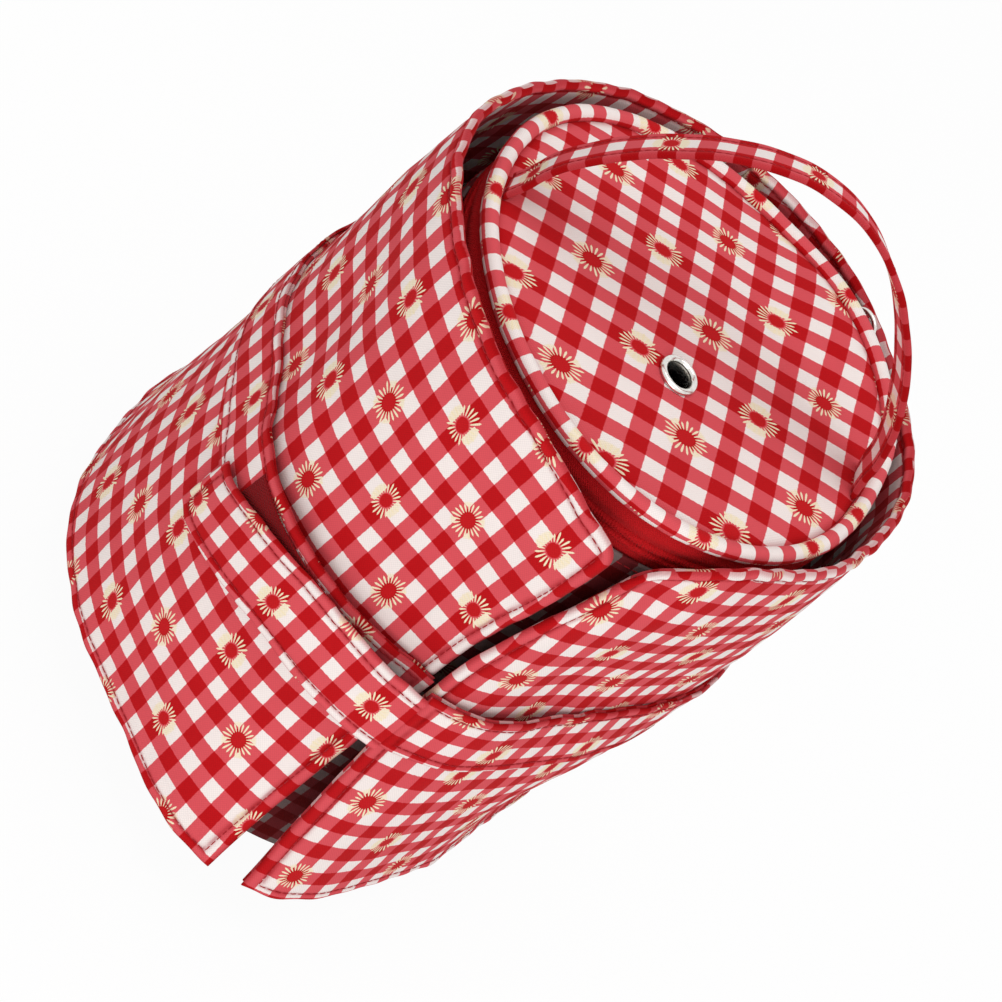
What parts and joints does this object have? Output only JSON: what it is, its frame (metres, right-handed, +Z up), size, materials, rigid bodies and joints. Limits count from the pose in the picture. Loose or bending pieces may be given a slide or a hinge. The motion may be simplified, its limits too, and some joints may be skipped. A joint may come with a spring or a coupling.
{
  "type": "crochet hook case",
  "caption": "Round zip-top crochet bag with an eyelet lid and strap handle, wrapped by a pocketed hook case that closes with a touch-fastened belt.",
  "frame": {"origin": "middle of the base's underside, on the axis of the round bag", "axes": "+Z up along the bag's axis, -Y toward the front where the case's two ends meet, +X to the right seen from the front"},
  "size_m": [0.2134, 0.2178, 0.3104],
  "materials": {
    "outer_cloth": "red and white gingham cotton with scattered daisies",
    "piping_cloth": "gingham cotton on its straight grain round a cord",
    "lining_cloth": "plain dark red lining",
    "zip_tape": "plain red woven zip tape",
    "zip_coil": "red nylon coil",
    "touch_tape": "dark red hook and loop tape",
    "board": "plain stiffening board",
    "nickel": "polished nickel plate"
  },
  "bodies": {
    "bag": {"base_panel": "outer_cloth", "base_board": "board", "base_lining": "lining_cloth", "bag_wall": "outer_cloth", "bag_lining": "lining_cloth", "zip_tape_lower": "zip_tape", "zip_coil_lower": "zip_coil", "lid_hinge_strip": "outer_cloth", "case_panel": "outer_cloth", "case_lining": "outer_cloth", "case_pocket": "outer_cloth", "case_pocket_band": "outer_cloth", "loop_strip": "touch_tape"},
    "lid": {"lid_panel": "outer_cloth", "lid_board": "board", "lid_lining": "lining_cloth", "lid_piping": "piping_cloth", "zip_tape_upper": "zip_tape", "zip_coil_upper": "zip_coil", "eyelet": "nickel", "eyelet_washer": "nickel", "handle_tab_left": "outer_cloth", "handle_tab_right": "outer_cloth"},
    "handle": {"handle_strap": "outer_cloth"},
    "slider": {"zip_slider": "nickel", "slider_bail": "nickel"},
    "pull": {"zip_pull": "nickel"},
    "wing": {"wing_panel": "outer_cloth", "wing_lining": "outer_cloth", "wing_pocket": "outer_cloth", "wing_pocket_band": "outer_cloth"},
    "belt": {"closure_belt": "outer_cloth", "hook_strip": "touch_tape"}
  },
  "joints": [
    {"name": "lid_hinge", "type": "hinge", "parent": "bag", "child": "lid", "pos_m": [-0.04239, 0.06784, 0.2392], "axis": [-0.848, -0.5299, 0], "range_deg": [0, 110]},
    {"name": "handle_swing", "type": "hinge", "parent": "lid", "child": "handle", "pos_m": [0.00222, -0.00664, 0.25], "axis": [0.9483, 0.3173, 0], "range_deg": [-70, 80]},
    {"name": "zip_travel", "type": "hinge", "parent": "bag", "child": "slider", "pos_m": [0, 0, 0.225], "axis": [0, 0, 1], "range_deg": [-260, 0]},
    {"name": "pull_swing", "type": "hinge", "parent": "slider", "child": "pull", "pos_m": [0.03543, 0.07957, 0.23165], "axis": [-0.9135, 0.4067, 0], "range_deg": [-20, 6]},
    {"name": "wing_fold", "type": "hinge", "parent": "bag", "child": "wing", "pos_m": [0.10863, 0.03954, 0.024], "axis": [-0.0831, -0.0302, 0.9961], "range_deg": [0, 100]},
    {"name": "belt_fold", "type": "hinge", "parent": "wing", "child": "belt", "pos_m": [0.04329, -0.10716, 0.115], "axis": [0.0778, 0.1301, 0.9884], "range_deg": [0, 120]}
  ]
}
